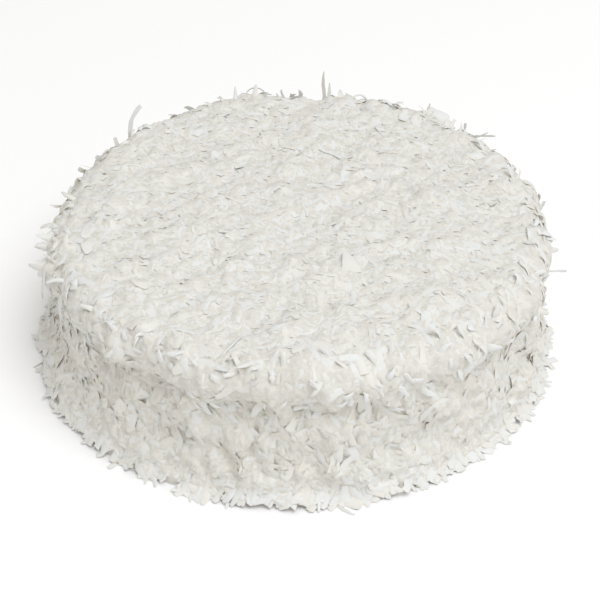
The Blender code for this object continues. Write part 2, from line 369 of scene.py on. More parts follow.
class Strips:
    """Many shreds of one kind, as arrays: one row for each shred and one column for each ring."""

    def __init__(self, draw, count, rings, band, length, width, thick, swing, lie):
        """Draws places in the band along a golden spiral by equal areas, then sizes, bends and tears."""
        self.rings, self.lie = rings, lie
        area = np.cumsum(RADIUS * np.gradient(RUN))
        start, end = np.interp(band, RUN, area)
        share = start + (np.arange(count) + draw.random(count)) / count * (end - start)
        run = np.interp(share, area, RUN)
        bearing = GOLDEN_ANGLE * np.arange(count) + draw.normal(0.0, BEARING_SPREAD, count)
        order = draw.permutation(count)
        self.run, self.bearing = run[order], bearing[order]
        self.length = draw.triangular(*length, count)
        self.width = draw.triangular(*width, count)
        self.thick = draw.uniform(*thick, count)
        self.bend(draw, count, swing(draw, count))
        ends = draw.uniform(*BLUNT_ENDS, (count, 2))
        swell = np.ones((count, rings)) + draw.normal(0.0, UNEVEN, (count, rings))
        swell[:, [0, -1]] = ends
        swell[:, [1, -2]] = 0.5 * (1.0 + swell[:, [1, -2]]) * (0.75 + 0.25 * ends)
        self.half = 0.5 * self.width[:, None] * swell
        self.torn = np.clip(draw.normal(1.0, TORN, (count, rings, 2)), *TORN_LIMITS)
        self.lift = np.abs(draw.normal(0.0, 1.0, (count, 2))) ** 1.5 * lie.loft
        self.arch = draw.normal(0.0, 0.5, count) * lie.loft
        self.stiff = STIFFEST * draw.random(count) ** 3
        self.twist = draw.normal(0.0, lie.roll, (count, 1)) + draw.normal(0.0, lie.roll, (count, 2))
        self.wedge = draw.uniform(*WEDGE, (count, 2))
        # Only flakes, which have the fewest rings, show a trace of the nut's skin at the top of the range.
        self.tone = draw.random(count) * (1.0 if rings == FLAKE_RINGS else 0.99)
        self.height = np.zeros((count, rings))
        self.tilt = np.zeros((count, rings))

    def bend(self, draw, count, heading):
        """Lays out each middle line: its heading changes by a linear and a squared term along it."""
        along = np.linspace(-0.5, 0.5, self.rings)
        bend = draw.normal(0.0, self.lie.curl, (count, 1)) * along
        bend = bend + draw.normal(0.0, 0.6 * self.lie.curl, (count, 1)) * (along**2 - 0.08)
        self.heading = heading[:, None] + bend
        step = self.length[:, None] / (self.rings - 1)
        mid = 0.5 * (self.heading[:, 1:] + self.heading[:, :-1])
        line = np.zeros((2, count, self.rings))
        line[..., 1:] = np.cumsum([np.cos(mid), np.sin(mid)], axis=2)
        line *= step
        self.down, self.round = line - line.mean(axis=2, keepdims=True)

    def on_map(self, rows):
        """Map places of the rings' middles, and the half widths across them, for some rows."""
        return self.placed(rows, self.run[rows], self.bearing[rows])

    def placed(self, rows, run, bearing):
        """The same for any length along the outline and bearing of the strips' middles."""
        run, bearing = run[:, None, None], bearing[:, None, None]
        # Off the top the map is wider than the cake, so that what runs round it is stretched.
        stretch = run / np.maximum(np.interp(run, RUN, RADIUS), 0.5 * MM)
        stretch = np.where(run < SHOULDER_START, 1.0, stretch)
        outward = np.concatenate([np.cos(bearing), np.sin(bearing)], axis=-1)
        around = np.concatenate([-np.sin(bearing), np.cos(bearing)], axis=-1) * stretch
        place = (run + self.down[rows, :, None]) * outward + self.round[rows, :, None] * around
        heading = self.heading[rows, :, None]
        side = np.cos(heading) * around - np.sin(heading) * outward
        return place, self.half[rows, :, None] * side

    def settle(self, draw, pile, rows):
        """Moves each strip to the lowest of a few places near its own."""
        run, bearing = self.run[rows], self.bearing[rows]
        best = pile.at(self.placed(rows, run, bearing)[0]).mean(axis=1)
        for _ in range(TRIES):
            shift = draw.uniform(-TRY_REACH, TRY_REACH, (2, len(run)))
            new_run = np.clip(self.run[rows] + shift[0], 0.0, MAP_REACH)
            around = shift[1] / np.maximum(np.interp(new_run, RUN, RADIUS), 20.0 * MM)
            new_bearing = self.bearing[rows] + around
            level = pile.at(self.placed(rows, new_run, new_bearing)[0]).mean(axis=1)
            lower = level < best
            best = np.where(lower, level, best)
            run, bearing = np.where(lower, new_run, run), np.where(lower, new_bearing, bearing)
        self.run[rows], self.bearing[rows] = run, bearing

    def fall(self, draw, pile, soft, rows):
        """Drops some rows onto the pile: each ring rests, pressed in by its share, and bridges hollows."""
        self.settle(draw, soft, rows)
        place, side = self.on_map(rows)
        lines = place + side, place, place - side
        loose = sum(pile.at(line) for line in lines) / 3.0
        left, middle, right = (soft.at(line) for line in lines)
        rest = self.lie.press * (left + middle + right) / 3.0 + (1.0 - self.lie.press) * loose
        sag = SAG * (self.length[rows, None] / (self.rings - 1))
        for _ in range(BRIDGINGS):
            bridge = 0.5 * (rest[:, :-2] + rest[:, 2:]) - sag
            rest[:, 1:-1] = np.maximum(rest[:, 1:-1], bridge)
            rest[:, :1] = np.maximum(rest[:, :1], 2 * rest[:, 1:2] - rest[:, 2:3] - END_SAG * sag)
            rest[:, -1:] = np.maximum(rest[:, -1:], 2 * rest[:, -2:-1] - rest[:, -3:-2] - END_SAG * sag)
        self.height[rows] = rest
        slope = LEAN * (left - right) / (2.0 * self.half[rows])
        self.tilt[rows] = np.clip(slope, -STEEPEST_LEAN, STEEPEST_LEAN)
        top = rest + PACKING * self.thick[rows, None]
        fine = np.linspace(0, self.rings - 1, 3 * self.rings - 2)
        low = np.minimum(fine.astype(int), self.rings - 2)
        part = fine - low
        for across in RAISED:
            edge = place + across * side
            spot = edge[:, low] * (1 - part)[:, None] + edge[:, low + 1] * part[:, None]
            pile.pile(spot, top[:, low] * (1 - part) + top[:, low + 1] * part)

    def seen(self, pile):
        """Which strips lie uppermost somewhere, so that they can be seen."""
        place, side = self.on_map(slice(None))
        top = self.height + PACKING * self.thick[:, None] + SEEN_DEPTH
        shown = [(top >= pile.at(place + share * side)).any(axis=1) for share in FELT]
        return np.any(shown, axis=0)

    def keep(self, chosen):
        """Drops every strip but the chosen ones."""
        for name, values in vars(self).items():
            if isinstance(values, np.ndarray):
                setattr(self, name, values[chosen])

    def depth(self, bed):
        """Painted shade for each corner of each ring, 0 to 1, by its depth in the coat: the base deeper
        than the top.

        The side's coat, which is thicker and shades itself more, counts as deeper than the top's
        and the foot's, so it gets more painted shade.
        """
        place, _ = self.on_map(slice(None))
        under = (bed.between(place) - self.height) / MM
        run = run_at(place)
        # The side gets more painted shade than the top, fading out near the foot.
        shaded = down_side(run) * smooth((FOOT_END - PAINTED_SHADE_END - run) / PAINTED_SHADE_FADE)
        share = TOP_PAINTED_SHADE + (SIDE_PAINTED_SHADE - TOP_PAINTED_SHADE) * shaded
        corners = BASE_DEPTH * np.array([1.0, 1.0, 0.0, 0.0]) + under[..., None]
        return np.clip(share[..., None] * corners, 0.0, 1.0)

    def solid(self, relief, sink):
        """Corner points of every ring, round the line that drapes over the relief.

        The ends lift by a power of the distance from the middle, and the middle by a parabola. A stiff
        strip goes part of the way to the straight line through its second and third rings.
        """
        place, side = self.on_map(slice(None))
        along = np.linspace(0.0, 1.0, self.rings)
        height = self.height - np.interp(run_at(place), RUN, sink)
        height = height + self.lift[:, :1] * np.maximum(0.0, 1.0 - 2.0 * along) ** 1.6
        height = height + self.lift[:, 1:] * np.maximum(0.0, 2.0 * along - 1.0) ** 1.6
        height = height + self.arch[:, None] * (1.0 - (2.0 * along - 1.0) ** 2)
        point, normal = in_space(relief, place, height)
        ahead = unit(point[:, 2:3] - point[:, 1:2])
        straight = point[:, 1:2] + ahead * ((along - along[1])[:, None] * self.length[:, None, None])
        spring = np.maximum(0.0, ((straight - point) * normal).sum(axis=-1, keepdims=True))
        point = point + normal * spring * self.stiff[:, None, None]
        slope = (relief.between(place + side) - relief.between(place - side)) / (2.0 * self.half)
        lean = np.arctan(self.tilt + np.clip(slope, -STEEPEST_SLOPE, STEEPEST_SLOPE))
        roll = self.twist[:, :1] * (1 - along) + self.twist[:, 1:] * along - lean
        half = self.half[..., None] * self.torn
        return sections(point, normal, roll, half, self.thick, self.wedge, self.lie.ridge)


def sections(point, normal, roll, half, thick, wedge, ridge):
    """Four corners for every ring: a flat base and a narrower top, rolled about the strip's own line."""
    tangent = unit(np.gradient(point, axis=1))
    across = unit(np.cross(tangent, normal))
    up = np.cross(across, tangent)
    sin, cos = np.sin(roll)[..., None], np.cos(roll)[..., None]
    across, up = across * cos + up * sin, up * cos - across * sin
    swell = 0.35 + 0.65 * np.sin(np.linspace(0.0, math.pi, point.shape[1]))
    rise = thick[:, None, None] * swell[None, :, None] * wedge[:, None, :]
    near, far = across * half[..., :1], across * half[..., 1:]
    top_near, top_far = up * rise[..., :1], up * rise[..., 1:]
    upper = point - ridge * near + top_near, point + ridge * far + top_far
    corners = np.stack([point - near, point + far, upper[1], upper[0]], axis=2)
    corners[..., 2] += np.maximum(0.0, LOWEST - corners[..., 2].min(axis=2, keepdims=True))
    return corners


def grid_faces(rows, columns, closed=False):
    """Four sided faces of a grid of points, whose last column may join the first."""
    row = np.arange(rows - 1)[:, None] * columns
    column = np.arange(columns if closed else columns - 1)
    after = (column + 1) % columns
    faces = [row + column, row + columns + column, row + columns + after, row + after]
    return np.stack(faces, axis=-1).reshape(-1, 4)


def strip_faces(count, rings):
    """Faces of strips with four corners a ring: the skin ring by ring, turned out, then both ends."""
    skin = grid_faces(rings, 4, closed=True)[:, [0, 3, 2, 1]]
    caps = np.array([[3, 2, 1, 0], 4 * (rings - 1) + np.arange(4)])
    faces = np.concatenate([skin, caps])
    return (np.arange(count)[:, None, None] * 4 * rings + faces).reshape(-1, 4)


def strip_uv(length, width, thick, rings):
    """Millimetres along the strip and round its section, for each corner of each face."""
    count = len(length)
    along = np.linspace(0.0, 1.0, rings) * length[:, None] / MM
    wide, thick = width / MM, thick / MM
    edge = np.stack([0.0 * wide, wide, wide + thick, 2 * wide + thick, 2 * (wide + thick)], axis=-1)
    ring, corner = np.mgrid[: rings - 1, :4][..., None]
    skin = np.stack([along[:, ring + [0, 0, 1, 1]], edge[:, corner + [0, 1, 1, 0]]], axis=-1)
    caps = np.zeros((count, 2, 4, 2)) + edge[:, 1, None, None, None]
    return np.concatenate([skin.reshape(count, -1, 4, 2), caps], axis=1).reshape(-1, 2)


def mesh_object(name, points, faces, uv=None, shades=()):
    """A mesh object at the origin, from points, four sided faces, their UVs and named values of points."""
    mesh = bpy.data.meshes.new(name)
    mesh.vertices.add(len(points))
    mesh.vertices.foreach_set("co", np.ascontiguousarray(points, np.float32).ravel())
    mesh.loops.add(faces.size)
    mesh.loops.foreach_set("vertex_index", faces.astype(np.int32).ravel())
    mesh.polygons.add(len(faces))
    mesh.polygons.foreach_set("loop_start", np.arange(0, faces.size, faces.shape[1], dtype=np.int32))
    if uv is not None:
        layer = mesh.uv_layers.new(name="UVMap")
        layer.data.foreach_set("uv", np.ascontiguousarray(uv, np.float32).ravel())
    for shade, numbers in dict(shades).items():
        values = mesh.attributes.new(shade, "FLOAT", "POINT")
        values.data.foreach_set("value", np.ascontiguousarray(numbers, np.float32).ravel())
    mesh.update(calc_edges=True)
    mesh.validate()
    mesh.shade_smooth()
    piece = bpy.data.objects.new(name, mesh)
    bpy.context.scene.collection.objects.link(piece)
    return piece


def linear(hex_colour):
    """sRGB hex turned to linear red, green and blue, with full alpha."""
    channels = [int(hex_colour[i : i + 2], 16) / 255.0 for i in (1, 3, 5)]
    return (*[c / 12.92 if c <= 0.04045 else ((c + 0.055) / 1.055) ** 2.4 for c in channels], 1.0)


def add_node(tree, kind, settings=(), values=(), links=()):
    """Adds a node: its settings by name, its sockets' values, and the sockets linked into it."""
    node = tree.nodes.new(kind)
    for name, value in dict(settings).items():
        setattr(node, name, value)
    for socket, value in dict(values).items():
        node.inputs[socket].default_value = value
    for socket, source in dict(links).items():
        tree.links.new(source, node.inputs[socket])
    return node


# How far apart the coconut's fibres are, in the UVs' millimetres, and the icing's crumbs, in metres.
FIBRE_SPACING = 0.5
CRUMB_SPACING = MM / 0.42

# Sockets that a colour mix node shares its names for: its share, its two colours and its result.
MIX_SHARE, MIX_FIRST, MIX_SECOND, MIX_RESULT = 0, 6, 7, 2


def new_material(name, roughness, ior):
    """A plain material of one roughness and index of refraction, its nodes and its shader."""
    material = bpy.data.materials.new(name)
    material.use_nodes = True
    shader = material.node_tree.nodes["Principled BSDF"]
    shader.inputs["Roughness"].default_value = roughness
    shader.inputs["IOR"].default_value = ior
    return material, material.node_tree, shader


def add_grain(tree, shader, vector, noise, shades, bump):
    """Mottles and roughens a surface by one noise. The node that it returns takes the colour first."""
    grain = add_node(tree, "ShaderNodeTexNoise", values=noise, links={"Vector": vector})
    ends = {"From Min": 0.3, "From Max": 0.7, "To Min": shades[0], "To Max": shades[1]}
    shade = add_node(tree, "ShaderNodeMapRange", values=ends, links={"Value": grain.outputs["Fac"]})
    scaled = {"Scale": shade.outputs["Result"]}
    tint = add_node(tree, "ShaderNodeVectorMath", {"operation": "SCALE"}, links=scaled)
    relief = add_node(tree, "ShaderNodeBump", values=bump, links={"Height": grain.outputs["Fac"]})
    tree.links.new(tint.outputs["Vector"], shader.inputs["Base Color"])
    tree.links.new(relief.outputs["Normal"], shader.inputs["Normal"])
    return tint


def dried_coconut(colours):
    """Sweetened coconut flesh, grated and dried.

    It is white, in places cream, and painted with duller, warmer shade deep in the coat. Its waxy faces
    are half matt, and the faint fibres that run along each strip catch the light.
    """
    material, tree, shader = new_material("dried_coconut", roughness=0.52, ior=1.45)
    tone = add_node(tree, "ShaderNodeAttribute", {"attribute_name": "tone"})
    ramp = add_node(tree, "ShaderNodeValToRGB", links={"Fac": tone.outputs["Fac"]})
    stops = ramp.color_ramp.elements
    stops[0].position, stops[0].color = 0.0, linear(colours.white)
    stops[1].position, stops[1].color = 1.0, linear(colours.tan)
    for position, colour in ((0.25, colours.white), (0.9, colours.cream), (0.997, colours.cream)):
        stop = stops.new(position)
        stop.color = linear(colour)
    uv = add_node(tree, "ShaderNodeUVMap", {"uv_map": "UVMap"})
    # The fibres are ten times as long as they are wide.
    scale = {"Scale": (0.1 / FIBRE_SPACING, 1.0 / FIBRE_SPACING, 1.0)}
    drawn = add_node(tree, "ShaderNodeMapping", values=scale, links={"Vector": uv.outputs["UV"]})
    noise = {"Scale": 1.0, "Detail": 2.0, "Roughness": 0.6}
    bump = {"Strength": 0.2, "Distance": 0.2 * MM}
    tint = add_grain(tree, shader, drawn.outputs["Vector"], noise, (0.97, 1.01), bump)
    # Painted shade: the depth in the coat mixes the coconut's colour towards the crease colour in its
    # hollows.
    depth = add_node(tree, "ShaderNodeAttribute", {"attribute_name": "depth"})
    painted_shade_mix = add_node(
        tree, "ShaderNodeMix", {"data_type": "RGBA"}, {MIX_SECOND: linear(colours.crease)},
        {MIX_SHARE: depth.outputs["Fac"], MIX_FIRST: ramp.outputs["Color"]},
    )
    tree.links.new(painted_shade_mix.outputs[MIX_RESULT], tint.inputs[0])
    return material


def whipped_icing(colours):
    """White icing, whipped and spread, with fine coconut pressed in.

    It is off-white and matt, and mottled and roughened by the crumbs of coconut in it.
    """
    material, tree, shader = new_material("whipped_icing", roughness=0.6, ior=1.45)
    where = add_node(tree, "ShaderNodeTexCoord")
    noise = {"Scale": 1.0 / CRUMB_SPACING, "Detail": 4.0, "Roughness": 0.65}
    bump = {"Strength": 0.6, "Distance": 0.8 * MM}
    tint = add_grain(tree, shader, where.outputs["Object"], noise, (0.84, 1.0), bump)
    tint.inputs[0].default_value = linear(colours.icing)[:3]
    return material


# Shreds that stand out by themselves. Each row: bearing from the right hand side, millimetres past the
# flat top, heading (0 outwards, 90 to the left as seen from the middle), rise off the surface, how much
# the rise and the heading change along it, length, width, and the tip's share of the width.
STANDING = (
    (83, 8, 165, 50, -10, 25, 16.5, 2.3, 0.3),
    (82, 9, -170, 56, 20, -30, 7.5, 1.9, 0.5),
    (89.5, 12, 170, 50, 30, 0, 6.5, 1.6, 0.4),
    (104, 9, -100, 60, -140, 20, 14, 1.8, 0.7),
    (99, 11, 100, 40, -90, 0, 9, 1.6, 0.6),
    (71, 8, 100, 70, -150, 0, 13, 1.7, 0.7),
    (67, 10, -90, 35, -60, 0, 9, 1.5, 0.5),
    (50.5, 8, 30, 84, -45, 0, 7.6, 9, 0.85),
    (47.5, 9, 45, 76, -45, 0, 6.2, 6, 0.8),
    (53.5, 8, 15, 76, -45, 0, 6.2, 6, 0.8),
    (42.6, 9.5, 170, 46, 10, 0, 5.6, 1.1, 1.9),
    (42.6, 11, -85, 33, 0, 10, 15, 1.8, 1.1),
    (41, 11, -95, 34, 20, -10, 9.5, 1.3, 0.8),
    (36.5, 14, -90, 35, 10, -20, 6, 1.3, 0.5),
    (137.8, 12, 170, 42, -35, 75, 19, 2.3, 1.3),
    (142.5, 13, 170, 42, -10, 0, 7.5, 2.3, 1),
    (158, 15, 60, 35, -30, 30, 7, 1.8, 0.5),
    (183, 14, -50, 80, 20, 20, 8.5, 4.2, 0.45),
    (185.5, 15, -70, 70, -30, 40, 8, 3.8, 0.6),
    (187, 14, -40, 85, 30, -30, 7, 3.4, 0.5),
    (190, 16, -55, 60, 30, 60, 7, 3.2, 0.6),
    (192.5, 16, -45, 75, -30, -40, 9, 4.2, 0.5),
    (194, 17, -60, 60, -50, 20, 8, 3.6, 0.5),
    (196, 18, -50, 50, -40, 0, 6, 2.8, 0.6),
    (195, 13, 80, 14, -24, -40, 12.5, 3, 0.9),
    (204, 14, 10, 22, -50, 25, 13, 4.2, 0.8),
    (346.5, 17, 90, 72, 8, -10, 8.5, 1.3, 1.2),
    (353, 15, 52, 45, 0, 0, 6.5, 3.4, 0.4),
    (341, 18, -20, 30, -30, 20, 7, 1.8, 0.6),
    (295.8, -48, 160, 19, -10, 15, 12.5, 8.8, 0.2),
    (258, -46.5, 170, 22, -15, 10, 8, 5, 0.25),
    (278.2, 40, 0, 12, -18, -4, 18, 4.4, 0.8),
    (252, 3, 152, 7, -6, 4, 14, 1.5, 0.9),
    (269.5, 38, 30, 10, -26, 25, 13, 3.4, 0.7),
    (277.5, 72, 25, 12, -24, 20, 12, 2.2, 0.5),
    (262, 22, -25, 14, -35, 0, 10, 3.4, 0.6),
    (249, 24, 20, 16, -40, 0, 10, 3.3, 0.6),
)
FRINGE_COUNT = 440

# The number of rings along each kind of strip, and where the draws of those that stand out start.
TOP_RINGS = 5
SIDE_RINGS = 6
FLAKE_RINGS = 4
FRINGE_RINGS = 6
STANDING_RINGS = 9
FRINGE_SEED = 13
STANDING_SEED = 15

# Edges sharper than this stay sharp when shaded.
STRIP_CREASE = math.radians(50.0)
ICING_CREASE = math.radians(60.0)


def fringe(draw):
    """Rows like those above for the short shreds that bristle at random round the rim."""
    count = FRINGE_COUNT
    bearing = 360.0 * (np.arange(count) + draw.uniform(0.0, 1.0, count)) / count
    inner = draw.random(count) < 0.5
    out = np.where(inner, draw.uniform(3.0, 12.0, count), draw.triangular(8.0, 18.0, 34.0, count))
    heading = draw.uniform(-180.0, 180.0, count)
    rise = draw.triangular(12.0, 32.0, 66.0, count)
    turn = draw.normal(-60.0, 40.0, count)
    veer = draw.normal(0.0, 40.0, count)
    length = draw.triangular(3.5, 6.0, 10.0, count)
    width = draw.triangular(1.4, 2.6, 4.0, count)
    tip = draw.uniform(0.2, 0.8, count)
    return np.stack([bearing, out, heading, rise, turn, veer, length, width, tip], axis=-1)


def any_way(draw, count):
    """Headings all round."""
    return draw.uniform(0.0, 2.0 * math.pi, count)


def mostly_down(spread, astray):
    """A way to draw headings: normal about straight down, but for a share that go any way."""

    def swing(draw, count):
        slant = draw.normal(0.0, spread, count)
        return np.where(draw.random(count) < astray, any_way(draw, count), slant)

    return swing


def kinds_of_strips(draw, settings):
    """Every kind of laid strip by the name of its piece, with its band of the outline and its size."""
    top_length, top_width = np.array(settings.top_length), np.array(settings.top_width)
    side_length, side_width = np.array(settings.side_length), np.array(settings.side_width)
    thick = (0.3 * MM, 0.65 * MM)
    thin = (0.14 * MM, 0.34 * MM)
    hanging = mostly_down(0.55, 0.16)
    over_the_rim = mostly_down(0.8, 0.5)
    fanned = mostly_down(0.6, 0.22)
    return {
        "top_shreds": Strips(
            draw, settings.top_count, TOP_RINGS, (0.0, SHOULDER_START + 2.0 * MM),
            top_length, top_width, thin, any_way,
            Lie(curl=1.3, loft=0.12 * MM, press=0.92, roll=0.06, ridge=0.62),
        ),
        "side_shreds": Strips(
            draw, settings.side_count, SIDE_RINGS, (SIDE_START - 6.0 * MM, FOOT_END - 9.0 * MM),
            side_length, side_width, thick, hanging,
            Lie(curl=1.3, loft=0.14 * MM, press=0.93, roll=0.045, ridge=0.55),
        ),
        "rim_shreds": Strips(
            draw, settings.rim_count, SIDE_RINGS, (SHOULDER_START - 3.0 * MM, SIDE_START + 6.0 * MM),
            0.8 * side_length, 0.85 * side_width, thick, over_the_rim,
            Lie(curl=1.2, loft=0.14 * MM, press=0.93, roll=0.045, ridge=0.55),
        ),
        "foot_shreds": Strips(
            draw, settings.foot_count, TOP_RINGS, (FOOT_END - 18.0 * MM, FOOT_END - 5.0 * MM),
            0.7 * side_length, 0.75 * side_width, thick, fanned,
            Lie(curl=1.1, loft=0.15 * MM, press=0.93, roll=0.05, ridge=0.55),
        ),
        "top_flakes": Strips(
            draw, settings.flake_count, FLAKE_RINGS, (0.0, SHOULDER_START + 8.0 * MM),
            0.45 * top_length, 0.55 * top_width, thin, any_way,
            Lie(curl=1.0, loft=0.14 * MM, press=0.92, roll=0.07, ridge=0.62),
        ),
        "side_flakes": Strips(
            draw, settings.flake_count // 2, FLAKE_RINGS, (SHOULDER_START + 8.0 * MM, FOOT_END - 1.8 * MM),
            0.45 * side_length, 0.5 * side_width, thin, hanging,
            Lie(curl=1.0, loft=0.13 * MM, press=0.93, roll=0.05, ridge=0.55),
        ),
    }


def uneven_icing(draw):
    """The icing's relief: folded lumps, larger on the side, over the frame's, less the rim's dents."""
    relief = MapGrid(PILE_CELL)
    for size, height in LUMPS:
        relief.clump(draw, size, height, folded=True)
    place = relief.places()
    run = run_at(place)
    relief.height *= (1.0 + (SIDE_LUMPS - 1.0) * down_side(run)) * (1.0 - near_floor(run, LUMPS_FADE))
    relief.height += frame_relief().between(place)
    bearing = np.degrees(np.arctan2(place[..., 1], place[..., 0]))
    on_rim = np.exp(-(((run - SHOULDER_START - DENT_OUT) / DENT_REACH) ** 2))
    for middle, width, depth in DENTS:
        relief.height -= depth * on_rim * np.exp(-(((bearing - middle) / width) ** 2))
    return relief


def clumped_pile(draw):
    """The pile that the coconut falls on: clumps of several sizes, taller on the side."""
    pile = MapGrid(PILE_CELL)
    for size, height in CLUMPS:
        pile.clump(draw, size, height)
    pile.height *= 1.0 + (SIDE_CLUMPING - 1.0) * down_side(run_at(pile.places()))
    return pile


class Coat:
    """All the coconut, laid in mixed rounds so that every kind lies among the others."""

    def __init__(self, settings):
        draw = np.random.default_rng(settings.seed)
        self.kinds = kinds_of_strips(draw, settings)
        self.relief = uneven_icing(draw)
        pile = clumped_pile(draw)
        for turn in range(ROUNDS):
            soft = pile.softened(PILE_SMOOTHINGS)
            for strips in self.kinds.values():
                count = len(strips.length)
                rows = slice(turn * count // ROUNDS, (turn + 1) * count // ROUNDS)
                strips.fall(draw, pile, soft, rows)
        self.bed = pile.softened(PILE_SMOOTHINGS)
        self.pulp = pile.softened(PULP_SMOOTHINGS)
        self.sink = self.sinking(pile)
        for strips in self.kinds.values():
            strips.keep(strips.seen(pile))

    def sinking(self, pile):
        """How deep the coat is set in along the outline, for its mean to stand just proud of the frame."""
        band = 4.0 * MM
        index = (run_at(pile.places()) / band).astype(int).ravel()
        total = np.bincount(index, pile.height.ravel())
        mean = total / np.maximum(np.bincount(index), 1)
        middle = (np.arange(len(mean)) + 0.5) * band
        depth = np.interp(RUN, middle, mean) - PROUD
        return depth * (1.0 - near_floor(RUN, SINK_FADE))


def sprout(laid, bearing, out, heading, rise, turn, veer, length, rings):
    """Middles and normals of shreds that leave the coat: each rises from the surface and bends evenly."""
    run = SHOULDER_START + out
    place = np.stack([run * np.cos(bearing), run * np.sin(bearing)], axis=-1)
    height = laid.bed.between(place) - np.interp(run, RUN, laid.sink) - ROOTED
    root, normal = in_space(laid.relief, place, height)
    share = np.linspace(0.0, 1.0, rings)[None, :, None]
    slope = rise[:, None, None] + turn[:, None, None] * share
    way = heading[:, None, None] + veer[:, None, None] * share
    around = np.stack([-np.sin(bearing), np.cos(bearing), 0.0 * bearing], axis=-1)[:, None]
    normal = normal[:, None]
    downward = np.cross(around, normal)
    level = np.cos(way) * downward + np.sin(way) * around
    ahead = np.cos(slope) * level + np.sin(slope) * normal
    step = 0.5 * (ahead[:, 1:] + ahead[:, :-1]) * length[:, None, None] / (rings - 1)
    point = root[:, None] + np.concatenate([0.0 * ahead[:, :1], np.cumsum(step, axis=1)], axis=1)
    return point, np.cos(slope) * normal - np.sin(slope) * level


# The icing's grids: the top's meets the side's along a seam on the rim.
ICING_CELLS = 300
ICING_ROWS = 78
ICING_SEAM = SHOULDER_START + 4.0 * MM

# The side's icing stops this far above the floor and turns in under the coat.
ICING_STOP = 5.0 * MM


@cache
def coat():
    """The laid coconut, worked out once for all the pieces."""
    return Coat(bpy.context.scene.coconut_coat)


def finish_piece(piece, crease, maker):
    """Gives a piece its sharp edges, its material and its body, and hides the node that it replaces.

    The material has its maker's name, and is made the first time that it is asked for.
    """
    piece.data.set_sharp_from_angle(angle=crease)
    made = bpy.data.materials.get(maker.__name__)
    piece.data.materials.append(made or maker(bpy.context.scene.cake_colours))
    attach(piece, "root")
    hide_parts("cake")


def add_strips(kind, corners, tone, depth, length, width, thick):
    """Makes one mesh piece of strips from the corners of their rings."""
    count, rings = corners.shape[:2]
    piece = mesh_object(
        kind,
        corners.reshape(-1, 3),
        strip_faces(count, rings),
        strip_uv(length, width, thick, rings),
        {"tone": np.repeat(tone, 4 * rings), "depth": depth},
    )
    finish_piece(piece, STRIP_CREASE, dried_coconut)


def add_kind(kind):
    """Makes the mesh piece of one kind of laid strip."""
    laid = coat()
    strips = laid.kinds[kind]
    corners = strips.solid(laid.relief, laid.sink)
    depth = strips.depth(laid.bed)
    add_strips(kind, corners, strips.tone, depth, strips.length, strips.width, strips.thick)


def disc_places():
    """Map places of a square grid folded onto a disc, whose squares turn to rings of alike cells."""
    step = np.linspace(-1.0, 1.0, ICING_CELLS + 1)
    a, b = np.meshgrid(step, step, indexing="ij")
    wide = np.abs(a) > np.abs(b)
    size, other = np.where(wide, a, b), np.where(wide, b, a)
    angle = 0.25 * math.pi * other / np.where(size == 0.0, 1.0, size)
    angle = np.where(wide, angle, 0.5 * math.pi - angle)
    return ICING_SEAM * np.stack([size * np.cos(angle), size * np.sin(angle)], axis=-1)


def add_icing(name, place, faces, shut=False):
    """Makes one piece of the icing, which follows the coconut's own unevenness from about its middle.

    A shut piece's last row but one is turned in at the lowest level, and its last is the base's middle.
    """
    laid, settings = coat(), bpy.context.scene.coconut_coat
    run = run_at(place)
    down = down_side(run)
    depth = settings.top_icing_depth * (1.0 - down) + settings.side_icing_depth * down
    height = laid.pulp.between(place) - np.interp(run, RUN, laid.sink) - depth
    point, _ = in_space(laid.relief, place, height * (1.0 - near_floor(run, SINK_FADE)))
    point[..., 2] = np.maximum(point[..., 2], LOWEST)
    if shut:
        point[-2, :, 2] = LOWEST
        point[-1] = (AXIS[0], AXIS[1], LOWEST)
    piece = mesh_object(name, point.reshape(-1, 3), faces)
    finish_piece(piece, ICING_CREASE, whipped_icing)


def add_sprouts(kind, sprouts, rings, seed):
    """Makes the mesh piece of shreds that stand off the coat, from one row of values for each."""
    draw = np.random.default_rng(seed)
    bearing, out, heading, rise, turn, veer, length, width, tip = np.array(sprouts, float).T
    angles = [np.radians(angle) for angle in (heading, rise, turn, veer)]
    length, width = length * MM, width * MM
    point, normal = sprout(coat(), np.radians(bearing), out * MM, *angles, length, rings)
    share = np.linspace(0.0, 1.0, rings)
    taper = (1.0 + (tip[:, None] - 1.0) * share**1.5) * np.sqrt(1.0 - (0.9 * share) ** 8)
    uneven = draw.uniform(0.75, 1.2, (len(width), rings, 2)) - 1.0
    uneven = 1.0 + uneven * np.minimum(1.0, 2.5 * MM / width)[:, None, None]
    half = 0.5 * width[:, None, None] * taper[..., None] * uneven
    roll = draw.normal(0.0, 0.25, (len(width), 1)) + draw.normal(0.0, 0.8, (len(width), 1)) * share
    roll = roll * np.minimum(1.0, 1.5 * MM / width)[:, None]
    thick = np.minimum(0.28 * width, 0.7 * MM)
    wedge = draw.uniform(0.6, 1.0, (len(width), 2))
    corners = sections(point, normal, roll, half, thick, wedge, 0.6)
    # Painted shade towards each shred's root, where it leaves the coat.
    depth = np.broadcast_to(0.5 * (1.0 - share)[:, None] ** 3, corners.shape[:3])
    add_strips(kind, corners, 0.9 * draw.random(len(width)), depth, length, width, thick)


